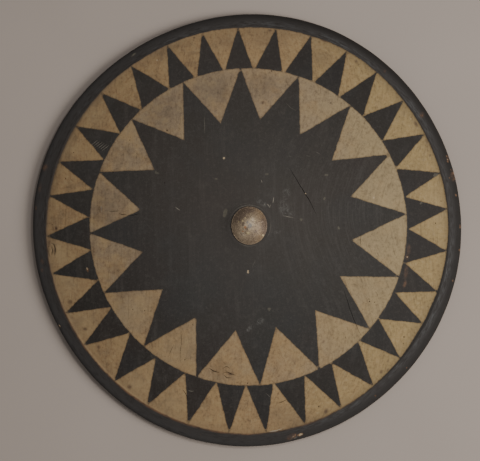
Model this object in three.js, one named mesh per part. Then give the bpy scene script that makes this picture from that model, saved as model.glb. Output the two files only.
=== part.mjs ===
// Round wooden shield, lying on its rim with the boss up. Millimetres, +Z up.
// The origin is under the middle of the outline, on the plane that the rim lies on.
// +Y is the top of the painted design, and the wood's grain runs along it.
import * as THREE from 'three';
import { mergeVertices } from 'three/addons/utils/BufferGeometryUtils.js';

// Outline: a circle cut by hand and shrunk across its grain. Each wave has its number
// of peaks in a turn, its height, and the bearing of a peak in degrees clockwise from +Y.
const BOARD_RADIUS = 320.3;
const OUTLINE_WAVES = [
  { peaks: 2, height: 1.9, bearing: 14 },
  { peaks: 3, height: 1.4, bearing: 45 },
  { peaks: 4, height: 1.3, bearing: 13 },
];

// Board, from the plane it lies on up
const PAINTED_EDGE_HEIGHT = 17; // painted face where it meets the rim
const DOME_RISE = 46; // from that edge to the middle of the painted face
const BOARD_THICKNESS = 12;

// Rim: a band hardly proud of the face, falling outwards with it, rolled over at its edge
// and flat underneath
const RIM_WIDTH = 22;
const RIM_PROUD = 0.6;
const RIM_STEP = 2.5; // run of the step up from the painted face
const RIM_FALL = 4; // from that step out to the edge, if it weren't rolled over
const RIM_ROLL_WIDTH = 8;
const RIM_ROLL_DEPTH = 5;
const RIM_FOOT_INSET = 4; // flat underside in from the outline
const RIM_FOOT_WIDTH = 16;
const HOLLOW_SLOPE = 8; // run of the slope from the flat underside into the hollow

// Low collar carved round the boss
const COLLAR_HEIGHT = 0.5; // flat seat above the middle of the dome
const COLLAR_LAND = 2.4; // flat left showing at the boss's ends
const COLLAR_SLOPE = 5;

// Boss: a hammered cap, a little longer along the grain than across it
const BOSS_HALF_WIDTH = 26.1;
const BOSS_HALF_LENGTH = 27.9;
const BOSS_HEIGHT = 13;
const BOSS_LIP_HEIGHT = 1.4; // short upright edge at the foot of the dome
const BOSS_GAP = 0.3;

// Hand grip: a bowed bar across the grain, with a flared foot at each end
const GRIP_SPAN = 148; // between the middles of the feet
const FINGER_GAP = 31; // from the hollow down to the bar
const BAR_WIDTH = 26;
const BAR_THICKNESS = 16;
const BAR_FLAT = 0.86; // share of an oval's thickness that is left between the bar's flat faces
const BEND_RADIUS = 24;
const FOOT_WIDTH = 38;
const FOOT_LENGTH = 28;
const GRIP_GAP = 0.5; // the hollow curves across the foot, so this is more than the boss's

// Fineness of the facets
const BOARD_SEGMENTS = 80;
const DOME_STEPS = 8;
const ROLL_STEPS = 4;
const BOSS_SEGMENTS = 32;
const BOSS_STEPS = 7;
const GRIP_SIDES = 16;
const BEND_STEPS = 5;

const RIM_INNER_RADIUS = BOARD_RADIUS - RIM_WIDTH;
const DOME_RADIUS = (RIM_INNER_RADIUS ** 2 + DOME_RISE ** 2) / (2 * DOME_RISE);
const APEX_HEIGHT = PAINTED_EDGE_HEIGHT + DOME_RISE;
const COLLAR_TOP = APEX_HEIGHT + COLLAR_HEIGHT;

// Height of the painted face at a distance from the middle
function faceHeight(radius) {
  return APEX_HEIGHT - DOME_RADIUS + Math.sqrt(DOME_RADIUS ** 2 - radius ** 2);
}

// Height of the hollow behind it
function hollowHeight(radius) {
  return faceHeight(radius) - BOARD_THICKNESS;
}

// Values from start to end, in equal steps, both included
function steps(start, end, count) {
  return Array.from({ length: count + 1 }, (_, i) => start + ((end - start) * i) / count);
}

// Smooth rise from 0 to 1
function smooth(t) {
  return t * t * (3 - 2 * t);
}

// A profile of [radius, height] pairs turned about the vertical axis
function turned(profile, segments) {
  const points = profile.map(([radius, height]) => new THREE.Vector2(radius, height));
  return new THREE.LatheGeometry(points, segments).rotateX(Math.PI / 2);
}

// The hollow, from the middle out to the flat underside of the rim
function hollowProfile() {
  const footInner = BOARD_RADIUS - RIM_FOOT_INSET - RIM_FOOT_WIDTH;
  const hollow = steps(0, footInner - HOLLOW_SLOPE, DOME_STEPS);
  return [...hollow.map((r) => [r, hollowHeight(r)]), [footInner, 0]];
}

// The rim, from its flat underside round the edge and in over its sloping face
function rimProfile() {
  const crest = PAINTED_EDGE_HEIGHT + RIM_PROUD;
  const rollRise = (RIM_FALL * RIM_ROLL_WIDTH) / (RIM_WIDTH - RIM_STEP);
  const roll = steps(0, 1, ROLL_STEPS).map((t) => [
    BOARD_RADIUS - RIM_ROLL_WIDTH * t ** 2,
    crest - RIM_FALL - RIM_ROLL_DEPTH * (1 - t) ** 2 + rollRise * t ** 2,
  ]);
  return [
    [BOARD_RADIUS - RIM_FOOT_INSET, 0],
    [BOARD_RADIUS, RIM_FOOT_INSET],
    ...roll,
    [RIM_INNER_RADIUS + RIM_STEP, crest],
    [RIM_INNER_RADIUS, PAINTED_EDGE_HEIGHT],
  ];
}

// The painted face, from the rim up to the collar and its flat top
function faceProfile() {
  const landRadius = Math.max(BOSS_HALF_WIDTH, BOSS_HALF_LENGTH) + COLLAR_LAND;
  const collarRadius = landRadius + COLLAR_SLOPE;
  const face = steps(RIM_INNER_RADIUS, collarRadius, DOME_STEPS).slice(1);
  return [...face.map((r) => [r, faceHeight(r)]), [landRadius, COLLAR_TOP], [0, COLLAR_TOP]];
}

// How far the outline stands out of its circle on a bearing, in radians
function outlineWave(bearing) {
  return OUTLINE_WAVES.reduce((sum, wave) => {
    const turn = wave.peaks * (bearing - THREE.MathUtils.degToRad(wave.bearing));
    return sum + wave.height * Math.cos(turn);
  }, 0);
}

// The turned board, with the waves in full at its edge and none in the middle
function boardGeometry() {
  const geometry = turned([...hollowProfile(), ...rimProfile(), ...faceProfile()], BOARD_SEGMENTS);
  const position = geometry.getAttribute('position');
  for (let i = 0; i < position.count; i++) {
    const x = position.getX(i);
    const y = position.getY(i);
    const share = Math.hypot(x, y) / BOARD_RADIUS;
    const grown = 1 + (share * outlineWave(Math.atan2(x, y))) / BOARD_RADIUS;
    position.setXY(i, x * grown, y * grown);
  }
  return geometry;
}

// A shallow, flat-bottomed oval dome with a short upright lip
function bossGeometry() {
  const rise = BOSS_HEIGHT - BOSS_LIP_HEIGHT;
  const radius = (BOSS_HALF_WIDTH ** 2 + rise ** 2) / (2 * rise);
  const edgeSlope = Math.asin(BOSS_HALF_WIDTH / radius);
  const dome = steps(edgeSlope, 0, BOSS_STEPS).map((a) => [
    Math.sin(a) / Math.sin(edgeSlope),
    BOSS_HEIGHT - radius * (1 - Math.cos(a)),
  ]);
  const round = turned([[0, 0], [1, 0], ...dome], BOSS_SEGMENTS);
  return round.scale(BOSS_HALF_WIDTH, BOSS_HALF_LENGTH, 1);
}

// Middle line of half the grip, from the middle of the bar to the seat of one foot.
// Each station has its place, the direction of the line and its flare from bar to foot.
function gripStations(barHeight) {
  const footX = GRIP_SPAN / 2;
  const bendX = footX - BEND_RADIUS;
  const bendTop = barHeight + BEND_RADIUS;
  const seat = hollowHeight(footX);
  const bend = steps(0, Math.PI / 2, BEND_STEPS).map((a) => ({
    x: bendX + BEND_RADIUS * Math.sin(a),
    z: bendTop - BEND_RADIUS * Math.cos(a),
    angle: a,
  }));
  const line = [...bend, { x: footX, z: seat, angle: Math.PI / 2 }];
  const rise = seat - barHeight;
  return line.map((s) => ({ ...s, flare: smooth((s.z - barHeight) / rise) }));
}

// One ring of the grip: an oval with its inner and outer faces flattened
function gripRing({ x, z, angle, flare }, side) {
  const halfWidth = THREE.MathUtils.lerp(BAR_WIDTH, FOOT_WIDTH, flare) / 2;
  const halfThickness = THREE.MathUtils.lerp(BAR_THICKNESS, FOOT_LENGTH, flare) / 2;
  return steps(0, 2 * Math.PI, GRIP_SIDES).slice(1).map((turn) => {
    const across = halfWidth * Math.cos(turn);
    const oval = (halfThickness / THREE.MathUtils.lerp(BAR_FLAT, 1, flare)) * Math.sin(turn);
    const out = THREE.MathUtils.clamp(oval, -halfThickness, halfThickness);
    return [side * (x - out * Math.sin(angle)), across, z + out * Math.cos(angle)];
  });
}

// Closed skin through rings of equal length, with a fan over each end
function lofted(rings) {
  const sides = rings[0].length;
  const middle = (ring) => [0, 1, 2].map((k) => ring.reduce((sum, p) => sum + p[k], 0) / sides);
  const points = [...rings.flat(), middle(rings[0]), middle(rings[rings.length - 1])];
  const first = rings.length * sides;
  const triangles = [];
  for (let side = 0; side < sides; side++) {
    const next = (side + 1) % sides;
    for (let row = 0; row < rings.length - 1; row++) {
      const [a, b] = [row * sides + side, row * sides + next];
      triangles.push(a, b, a + sides, b, b + sides, a + sides);
    }
    const last = (rings.length - 1) * sides;
    triangles.push(first, next, side, first + 1, last + side, last + next);
  }
  const geometry = new THREE.BufferGeometry();
  geometry.setAttribute('position', new THREE.Float32BufferAttribute(points.flat(), 3));
  geometry.setIndex(triangles);
  return geometry;
}

function gripGeometry() {
  const barHeight = hollowHeight(0) - FINGER_GAP - BAR_THICKNESS / 2;
  const half = gripStations(barHeight);
  const left = half.slice().reverse().map((station) => gripRing(station, -1));
  const right = half.map((station) => gripRing(station, 1));
  const rings = [...left, ...right];
  // The seats follow the hollow
  for (const ring of [rings[0], rings[rings.length - 1]]) {
    for (const point of ring) point[2] = hollowHeight(Math.hypot(point[0], point[1])) - GRIP_GAP;
  }
  return lofted(rings);
}

function shieldPart(name, geometry, color, roughness, metalness) {
  geometry.deleteAttribute('uv');
  geometry.deleteAttribute('normal');
  const merged = mergeVertices(geometry);
  merged.computeVertexNormals();
  const material = new THREE.MeshStandardMaterial({ color, roughness, metalness });
  const mesh = new THREE.Mesh(merged, material);
  mesh.name = name;
  return mesh;
}

const board = shieldPart('board', boardGeometry(), 0x3a3733, 0.6, 0);
const boss = shieldPart('boss', bossGeometry(), 0x9a8468, 0.45, 0.7);
boss.position.z = COLLAR_TOP + BOSS_GAP;
const grip = shieldPart('grip', gripGeometry(), 0x5a3d26, 0.6, 0);

const shield = new THREE.Group();
shield.add(board, boss, grip);

// The waves leave the outline a little off the middle of the dome
const outline = new THREE.Box3().setFromObject(board);
const middle = outline.getCenter(new THREE.Vector3());
shield.position.set(-middle.x, -middle.y, 0);

export default shield;
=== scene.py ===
"""A round wooden shield lying on its rim, seen from above.

The board is carved in one with its rim and painted black and tan. A small metal boss sits
on a low collar at its middle, and a wooden grip spans the hollow behind.
"""
import math
from types import SimpleNamespace

import bpy
import numpy as np
from mathutils import Matrix, Vector, noise
from mathutils.geometry import delaunay_2d_cdt
from mathutils.kdtree import KDTree


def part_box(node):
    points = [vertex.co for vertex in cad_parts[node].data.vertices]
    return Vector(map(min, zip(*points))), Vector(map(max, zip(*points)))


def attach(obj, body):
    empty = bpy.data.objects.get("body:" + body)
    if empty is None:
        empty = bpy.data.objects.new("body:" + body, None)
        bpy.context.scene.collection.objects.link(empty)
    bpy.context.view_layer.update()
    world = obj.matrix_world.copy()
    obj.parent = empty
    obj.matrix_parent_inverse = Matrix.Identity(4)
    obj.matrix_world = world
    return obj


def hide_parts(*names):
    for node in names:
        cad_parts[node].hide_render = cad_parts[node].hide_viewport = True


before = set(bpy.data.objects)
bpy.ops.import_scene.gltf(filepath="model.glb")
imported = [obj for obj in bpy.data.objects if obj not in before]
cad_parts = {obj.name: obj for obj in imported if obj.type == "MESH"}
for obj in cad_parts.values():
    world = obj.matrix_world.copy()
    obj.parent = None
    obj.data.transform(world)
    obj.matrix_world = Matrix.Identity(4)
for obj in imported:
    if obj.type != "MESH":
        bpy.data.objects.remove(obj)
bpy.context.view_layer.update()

MM = 0.001

# Board, in the sizes of its solid. A wave of the outline has its number of peaks in a
# turn, its height, and the bearing of a peak in degrees clockwise from +Y.
BOARD_RADIUS = 320.3 * MM
WAVES = ((2, 1.9 * MM, 14), (3, 1.4 * MM, 45), (4, 1.3 * MM, 13))
PAINTED_EDGE_HEIGHT = 17 * MM
DOME_RISE = 46 * MM
BOARD_THICKNESS = 12 * MM
RIM_WIDTH = 22 * MM
RIM_PROUD = 0.6 * MM
RIM_STEP = 2.5 * MM
RIM_FALL = 4 * MM
RIM_ROLL_WIDTH = 8 * MM
RIM_ROLL_DEPTH = 5 * MM
RIM_FOOT_INSET = 4 * MM
RIM_FOOT_WIDTH = 16 * MM
HOLLOW_SLOPE = 8 * MM
COLLAR_HEIGHT = 0.5 * MM
COLLAR_LAND = 2.4 * MM
COLLAR_SLOPE = 5 * MM

# Boss
BOSS_LOW, BOSS_HIGH = (Vector(corner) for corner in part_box("boss"))
BOSS_HALF_WIDTH = (BOSS_HIGH.x - BOSS_LOW.x) / 2
BOSS_HALF_LENGTH = (BOSS_HIGH.y - BOSS_LOW.y) / 2
BOSS_LIP_HEIGHT = 1.4 * MM
BOSS_LIP_INSET = 0.7 * MM
DENT_SIZE, DENT_DEPTH = 8 * MM, 0.13 * MM
PIT_SIZE, PIT_DEPTH = 1.7 * MM, 0.4 * MM

# Grip, in the sizes of its solid
GRIP_SPAN = 148 * MM
FINGER_GAP = 31 * MM
BAR_WIDTH = 26 * MM
BAR_THICKNESS = 16 * MM
BAR_FLAT = 0.86
BEND_RADIUS = 24 * MM
FOOT_WIDTH = 38 * MM
FOOT_LENGTH = 28 * MM
GRIP_GAP = 0.5 * MM

# The middle of the dome, which the boss marks
MIDDLE_X = (BOSS_LOW.x + BOSS_HIGH.x) / 2
MIDDLE_Y = (BOSS_LOW.y + BOSS_HIGH.y) / 2

RIM_INNER = BOARD_RADIUS - RIM_WIDTH
RIM_SLOPE = RIM_FALL / (RIM_WIDTH - RIM_STEP)
RIM_EDGE_HEIGHT = PAINTED_EDGE_HEIGHT + RIM_PROUD - RIM_FALL
DOME_RADIUS = (RIM_INNER ** 2 + DOME_RISE ** 2) / (2 * DOME_RISE)
APEX = PAINTED_EDGE_HEIGHT + DOME_RISE
LAND_RADIUS = BOSS_HALF_LENGTH + COLLAR_LAND
COLLAR_RADIUS = LAND_RADIUS + COLLAR_SLOPE
FOOT_INNER = BOARD_RADIUS - RIM_FOOT_INSET - RIM_FOOT_WIDTH
HOLLOW_RADIUS = FOOT_INNER - HOLLOW_SLOPE

# Bearings of the sides where the paint is darker along the rim and where the paint's edge is
# worn most, how far in the darkening reaches, and the place of the black paint's painted sheen
DARK_RIM_TOWARDS, WORN_EDGE_TOWARDS = -75, 205
DARK_RIM_CLOSE, DARK_RIM_WIDE = 6.5 * MM, 16 * MM
SHEEN_STREAKS_X, SHEEN_STREAKS_Y, SHEEN_STREAKS_REACH = 118 * MM, 20 * MM, 90 * MM

# Lengths of a cut line's steps and how far it strays, the hollows left by the carver's tools,
# what the rim is short of its full size, and the gouge marks behind
STROKE_STEP, STROKE_STRAY = 1.8 * MM, 0.25 * MM
BROAD_HOLLOWS, CLOSE_HOLLOWS = 0.35 * MM, 0.15 * MM
RIM_SHORT, RIM_LONG_WAVES, RIM_SHORT_WAVES = 0.05 * MM, 0.3 * MM, 0.15 * MM
GOUGE_DEPTH, GOUGE_START = 0.7 * MM, 105 * MM

# Fineness of the meshes
FACE_STEP = 2.6 * MM
BACK_STEP = 6.5 * MM
AROUND = 720
RING_STEP, COLLAR_STEP = 0.6, 5
CLEAR_OF_LINES, CLEAR_OF_MARKS = 1.15 * MM, 0.6 * MM
BOSS_AROUND, BOSS_STEPS = 150, 48
GRIP_SIDES = 40

# Bands of faces that are bare wood already between the rim's flat underside and the hollow
BARE_BANDS = 3

# Corners sharper than these are shaded as edges
SHARP_BOARD, SHARP_GRIP = math.radians(38), math.radians(50)

# Photograph's frame and the camera, which looks down a little from below the design
PHOTO_WIDTH, PHOTO_HEIGHT = 480, 461
OUTLINE_PIXEL = (247.7, 228.5)
OUTLINE_PIXELS = 215.3
LENS, SENSOR = 120, 36
LEAN_X, LEAN_Y = -0.02, -0.06
OUTLINE_HEIGHT = 12 * MM

# Rounds in which a line of sight settles on the curved face
SIGHT_STEPS = 8

# The painted design as read from the photograph: bearings in degrees clockwise from the
# top, about READ_FROM, and lengths in its pixels. The inner row has sixteen triangles that
# point inwards from the ring, and the outer row has thirty-two that point in from the rim.
READ_FROM = (247.5, 229.0)
RING_CENTRE, RING_PIXELS = (248.3, 226.9), (158.8, 158.8)
EDGE_CENTRE, EDGE_PIXELS = (248.1, 229.7), (200.3, 203.6)
# How far the painter strayed out from that ellipse, in pixels, at every 30 degrees
EDGE_STRAYS = (-1.3, 1.7, 0, 0, -3, -1.5, 0.8, 0, 0, 1.8, 0.3, -1.5)
INNER_TIPS = (
    (6.6, 110), (29.1, 108), (50.9, 108.5), (72.5, 108), (96.1, 104.6), (117.1, 104),
    (140.2, 106), (163.8, 102), (186.7, 102), (210.2, 102), (234.6, 104), (257.7, 107),
    (280.2, 108.5), (302.5, 110), (324.6, 109), (345.8, 109),
)
INNER_CORNERS = (
    18.5, 39.8, 62.3, 84.6, 107.5, 129.2, 152.9, 175.4,
    199, 221.5, 246, 268.5, 291, 313.5, 336.3, 357.5,
)
# Each outer tip stops short of the ring by a gap, or runs into it where this is negative
OUTER_TIPS = (
    (2.3, -3), (12.9, -3), (24.2, -2), (34.6, -2), (45.7, 0.3), (56.8, 0.8), (67.8, -0.5),
    (78.5, 0.3), (90, 1.8), (102.2, 1.5), (113.3, 1.8), (124.4, 0.5), (135.2, -1.5),
    (147.9, 0.5), (158.7, -0.5), (170.4, -2), (180.6, -1.5), (191.5, -1.5), (203.4, -0.5),
    (215.5, 1), (228.5, 0), (240.2, -1), (251, 0.5), (262.4, -0.5), (274.3, 1.5),
    (284.4, 0.5), (295.7, -0.5), (306.9, -0.5), (318.5, -2), (330.9, 0), (341.2, -3),
    (351.6, -3),
)
OUTER_CORNERS = (
    8.1, 18.2, 29.2, 39.5, 50.5, 61.8, 73.8, 84.2, 96.3, 108.2, 118.3, 130.2, 141.3, 152.3,
    163.5, 174.8, 185.2, 197, 209.7, 221.2, 234.6, 245.2, 257.1, 267.9, 279.5, 289.6,
    300.9, 312.9, 324.5, 336.3, 347, 357.3,
)

# Splits and cracks: width and depth in millimetres, then pixels of the photograph
SPLITS = (
    (0.9, 1.8, (289, 167), (293, 174), (300, 185), (305, 193.5), (311, 203.5), (317, 215.6)),
    (0.8, 1.3, (343.5, 289), (347.5, 301.5), (351.3, 312.5), (356.3, 326), (361.8, 337)),
    (0.7, 0.8, (360.9, 233.5), (360.5, 240), (360.6, 246.5)),
    (0.7, 0.5, (181.6, 331), (181, 345), (179.8, 363)),
    (0.7, 0.4, (174.5, 343), (171, 350), (167.5, 358)),
    (2.0, 1.2, (208, 367.8), (212.5, 370.8), (219.5, 373)),
    (1.7, 1.1, (222.5, 373.5), (227, 372), (231, 374), (236, 375.5)),
    (1.2, 0.7, (223, 368.5), (226.5, 366.3), (230.5, 369.3)),
    (1.5, 0.9, (222.8, 374.3), (226.3, 377.8), (232, 378)),
    (1.3, 0.9, (181.8, 388.5), (185.2, 393.5), (188, 399.8)),
    (1.0, 0.5, (275.8, 403.6), (281.5, 402.4), (287.5, 399)),
    (1.1, 0.5, (280.2, 402.6), (286, 400.4)),
    (1.3, 0.6, (374.4, 82.8), (374.7, 86), (375, 89)),
    (0.7, 0.4, (105, 210.8), (112, 211.5), (120, 211)),
    (0.8, 0.3, (98.6, 205), (98.6, 209.5), (100.2, 213.6)),
    (2.7, 0.5, (49.3, 242.6), (53.6, 244.2), (55.4, 249.6), (54.2, 257)),
    (2.2, 0.5, (50.8, 245.6), (52.2, 250.3), (51.2, 256.4)),
    (1.6, 0.4, (48.4, 243.5), (47.7, 250), (49.6, 258)),
    (1.4, 0.8, (118, 213.4), (121.5, 214.6), (127, 215)),
    (1.2, 0.6, (127.5, 215.6), (133, 215.2), (139.5, 213.6)),
    (0.9, 0.4, (299.5, 366.6), (304, 365.8)),
    (0.9, 0.4, (345.4, 335.8), (345.4, 339)),
)

# Pale scratches: width in millimetres and strength, then pixels of the photograph
SCRATCHES = (
    (1.5, 0.8, (273.9, 196.3), (273.3, 199.5), (272.8, 203.5)),
    (1.2, 0.7, (261.2, 179.5), (261.9, 183)),
    (2.2, 0.45, (266.3, 203.5), (268.5, 205.5), (270.4, 207.8)),
    (1.4, 0.35, (263.5, 203), (265.5, 206.4)), (3.0, 0.3, (100.8, 204.6), (101.6, 213)),
    (0.9, 0.5, (270.6, 204), (270.4, 207)),
    (1.2, 0.5, (281.5, 215.6), (287, 216.6), (294.5, 218)),
    (1.8, 0.5, (174.5, 206.6), (177.5, 208.8), (180.5, 210.6)),
    (1.3, 0.35, (187.5, 390.2), (191, 391.5), (195, 391)),
    (0.9, 0.3, (265.3, 393), (268, 395.2), (271, 398.2)),
    (0.8, 0.2, (287.5, 155.5), (293, 157.5)),
    (0.9, 0.25, (305.5, 155.7), (311, 156.6)),
    (0.9, 0.25, (315, 151.5), (321, 154.8)),
    (0.9, 0.2, (285, 102), (291, 108), (297, 111.5)),
    (0.9, 0.2, (252, 268), (256, 259)),
    (1.2, 0.2, (204.4, 115), (204.6, 134.5)),
    (1.6, 0.3, (290.3, 440), (296.5, 433)),
    (1.4, 0.3, (293.5, 439.5), (298, 435.5)),
    (1.5, 1.1, (268.5, 432.0), (276, 430.9), (284, 428.2)),
    *((0.9, 0.55, (90.5 + 2.3 * k, 146 + k), (98.5 + 2.3 * k, 139.6 + k)) for k in range(6)),
)

# Pale arcs scratched round the boss: width in millimetres, strength, reach from its middle
# in pixels, and first and last bearing
BOSS_PIXEL = (249.3, 225.4)
BOSS_ARCS = (
    (1.5, 0.16, 20.4, -75, 70), (1.3, 0.13, 21.2, 78, 128), (1.5, 0.13, 20.6, 150, 215),
    (1.2, 0.10, 22.6, -60, 20),
)

# Depth of every scratch and arc, in millimetres
SCRATCH_DEPTH = 0.1

# Marks: pixel of the photograph, then length and width in millimetres, turn of the length
# clockwise from up in degrees, and depth in millimetres where there is one
PALE_CHIPS = (
    (224, 158.1, 4.6, 4.4, 20, 0.3), (248.1, 271.7, 6.8, 3.0, -5, 0.4),
    (305.6, 193.6, 2.6, 2.6, 0, 0.2), (373.9, 197.7, 4.2, 3.8, 0, 0.2),
    (157, 60, 2.8, 2.6, 0, 0.1), (99.4, 364.6, 2.4, 2.2, 0, 0.1),
    (447.9, 160.2, 3.6, 2.8, 15, 0.3), (300.6, 434.6, 7.5, 3.4, 75, 0.5),
    (407.3, 257, 2.6, 2.2, 0, 0.2), (87.1, 268.6, 5.0, 1.8, -10, 0.3),
    (419.6, 127.3, 2.0, 2.0, 0), (411, 118.8, 2.2, 2.0, 0),
    (59.8, 326, 3.6, 2.2, 150, 0.3),
)
FADED = (
    (225.2, 213, 18, 6.4, 16, 0.2), (269, 309.1, 5, 4, 10), (266.9, 174, 5, 3, 80),
    (216.3, 178.8, 3.6, 2.2, 130), (301.3, 219.7, 3, 2.6, 0),
    (326.3, 175, 7, 3, 85), (435.5, 175, 10, 6, 60), (421.2, 203, 4, 2, 60),
    (324.4, 198.5, 3.4, 2.6, 0), (338.8, 228.1, 4, 2.4, 0),
    (156.5, 172.8, 6, 2.6, 100), (133.5, 54.5, 12, 3, 52),
)
PITS = (
    (166.8, 130.3, 5.4, 2.6, 128, 0.7), (131.2, 85.8, 2.0, 2.0, 0, 0.3),
    (129.4, 140, 2.0, 2.0, 0, 0.3), (94.8, 115, 1.8, 1.8, 0, 0.3),
    (112.8, 172, 2.3, 2.3, 0, 0.8), (73.5, 152.4, 2.0, 2.0, 0, 0.6),
    (65.4, 178.6, 2.1, 2.1, 0, 0.6), (52, 224.6, 3.0, 1.7, 90, 0.3),
    (55.8, 228.3, 4.6, 2.0, 160, 0.4), (271.5, 71, 2.8, 2.2, 0, 0.5),
    (330.6, 102.8, 4.0, 1.8, 50, 0.3), (435.4, 223.1, 2.4, 2.4, 0, 0.8),
    (441, 201, 3.6, 1.8, 100, 0.4), (369.4, 301.5, 2.8, 2.6, 0, 0.8),
    (368.9, 299, 1.9, 1.9, 0, 0.5), (374.4, 302.2, 2.1, 2.1, 0, 0.5),
    (404, 337, 3.8, 3.4, 0, 0.5), (403.3, 343.5, 2.4, 2.2, 0, 0.4),
    (247.3, 383.2, 2.7, 2.5, 0, 0.5), (192.5, 324.6, 2.4, 2.2, 0, 0.3),
    (184.7, 359.6, 4.6, 2.0, 20, 0.3), (318.6, 406.5, 3.0, 2.8, 0, 0.4),
    (144.3, 310.6, 2.8, 1.7, 30, 0.3), (132.5, 309.5, 1.9, 1.9, 0, 0.3),
    (164.4, 182.8, 2.4, 2.4, 0, 0.5),
)
BARE_CHIPS = (
    (421.9, 114.8, 4.0, 3.0, 30, 0.4), (446.6, 155.6, 2.8, 2.4, 0, 0.3),
    (447.9, 160.6, 6.5, 4.6, 20, 0.5), (451, 169.4, 3.2, 2.8, 0, 0.3),
    (453.4, 173, 3.4, 3.2, 0, 0.3), (449.5, 178.6, 3.2, 2.6, 0, 0.3),
    (452, 178.4, 2.8, 2.6, 0, 0.3), (454.4, 179.2, 3.6, 3.0, 0, 0.3),
    (456, 195, 5.4, 3.2, 10, 0.4), (460.2, 226.3, 8, 2.6, 0, 0.4),
    (459.8, 249.6, 4.4, 4.4, 0, 1.2), (452.9, 280.6, 4, 3, 0, 0.3),
    (448.2, 299.4, 3.2, 2.6, 0, 0.4), (406.9, 367.3, 3, 2.8, 0, 0.4),
    (375.6, 395.6, 6, 2.8, 20, 0.4), (300.6, 434.6, 12, 5.6, 75, 0.6),
    (294.5, 436, 10, 4, 30, 0.3), (201.2, 435.6, 5, 2.8, 0, 0.3),
    (59.7, 326.3, 6, 3.6, 150, 0.6), (53.8, 304.8, 3, 2.6, 0, 0.3),
    (407.3, 256.5, 5, 3.4, 0, 0.2), (87.3, 269.5, 9, 3.2, -10, 0.2),
)
RUBBED = (
    (408.6, 250, 24, 9, 5), (407, 257, 12, 8, 0), (406.4, 271, 34, 9, 8),
    (404.9, 284, 17, 7, 12), (421.9, 114.8, 13, 10, 30), (45, 167.5, 14, 11, 20),
    (39.8, 187.5, 18, 7, 5), (42.2, 261.6, 9, 7, 0), (41.9, 270, 8, 6, 0),
    (35.8, 207.5, 8, 5, 0), (384.8, 71.3, 8, 6, 0), (453, 176, 22, 12, 0),
    (448.5, 158, 14, 8, 20), (291, 437, 22, 11, 60),
)
STAINS = (
    (262.8, 102.5, 9, 7, 40), (195.5, 68, 9, 5, 40), (270, 30.5, 10, 6, 90),
    (194.5, 37.5, 6, 4, 60), (356, 61.5, 8, 7, 0), (324, 40.5, 22, 5, 112),
    (416, 124, 16, 8, -30), (427, 141, 16, 5, -25), (430, 155.3, 6, 5.6, 0),
    (411.9, 165.6, 4, 4, 0), (388, 361, 6, 5, 0), (381.3, 371.8, 10, 7, 20),
    (388, 370, 11, 5, 45), (326, 411.5, 14, 10, 30), (98.8, 346.9, 9, 7, 0),
    (129.4, 386.9, 9, 11, 0), (70, 302, 10, 12, 0), (85, 329, 8, 12, 0),
    (249, 420.6, 10, 4, 130), (209.4, 78, 4.4, 4, 0), (406, 221, 6, 4, 0),
    (405.8, 246, 8, 4, 0), (93.5, 251, 26, 3.4, -4), (323.5, 341.8, 6, 5, 0),
    (230, 374, 13, 6, 100), (101.2, 208.8, 10, 6, 0), (56, 228.5, 12, 8, 0),
    (49, 243, 16, 6, 5), (54.5, 251, 18, 5, 5),
)
# Broad patches where the tan is painted darker, mostly towards the top
DARKENED_PATCHES = (
    (165, 112, 110, 80, 60), (212, 90, 100, 80, 90), (107, 204, 70, 90, 100),
    (262, 88, 70, 50, 80), (165, 48, 80, 50, 70), (228, 42, 70, 30, 90),
    (268, 40, 90, 40, 95), (288, 418, 120, 44, 105), (322, 58, 80, 40, 120),
)
# Broad patches where the tan is painted lighter, mostly to the left and the right
LIGHTENED_PATCHES = (
    (172, 402, 70, 60, 60), (138, 383, 80, 60, 120), (84, 323, 70, 60, 60),
    (66, 285, 90, 60, 0), (60, 254, 70, 50, 0), (176, 353, 110, 80, 30),
    (133, 312, 80, 60, 50), (66, 148, 60, 50, 20), (96, 116, 60, 50, 45),
    (435, 210, 90, 50, 0), (385, 212, 80, 60, 0),
)
SCUFFS = (
    (284, 208, 34, 20, -10), (286, 194, 24, 15, 20), (290, 214, 18, 11, 80),
    (262, 203, 30, 10, 120), (277, 232, 18, 5, 78), (260.3, 321.2, 17, 11, 50),
    (250, 328.2, 26, 7, 52),
)
MARKS = {
    "pale": PALE_CHIPS, "faded": FADED, "pit": PITS, "bare": BARE_CHIPS, "rubbed": RUBBED,
    "stain": STAINS, "scuff": SCUFFS, "darkened": DARKENED_PATCHES, "lightened": LIGHTENED_PATCHES,
}

# Spots on the boss: place from its middle, length, width and turn, in millimetres and degrees
BOSS_SPOTS = {
    "tarnish": (
        (-12, 15, 44, 20, 45), (5, 5, 2.5, 2.5, 0), (-3, 21, 26, 9, 90), (22, 0, 46, 18, 0),
        (-9, 2, 8, 5, 30), (-4, -6, 6, 4, 80), (9, -9, 7, 5, 20),
    ),
    "rust": ((-6.2, -3, 6, 5, 0), (-9.5, -9, 3, 3, 0)),
    "cream": (
        (-2.3, -11.6, 7.5, 5, 90), (-9.9, 6.2, 4.5, 4, 0), (-15.4, 5.1, 3.4, 3, 0),
        (20, -14.3, 4.5, 4, 0), (2, 8.5, 3, 2.4, 0), (8, 6.5, 3, 2.2, 0), (-6, 10.5, 3, 2.5, 0),
    ),
    "blue": ((0.5, -1, 11, 8, 20), (-3, 4, 6, 4, 0)),
    # Bright spots: painted highlight on the middle and top, painted light on the lower left
    "bright": ((-1, 1, 46, 40, 20), (4, 8, 20, 18, 0), (-10, -13, 26, 16, 120)),
}

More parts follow.
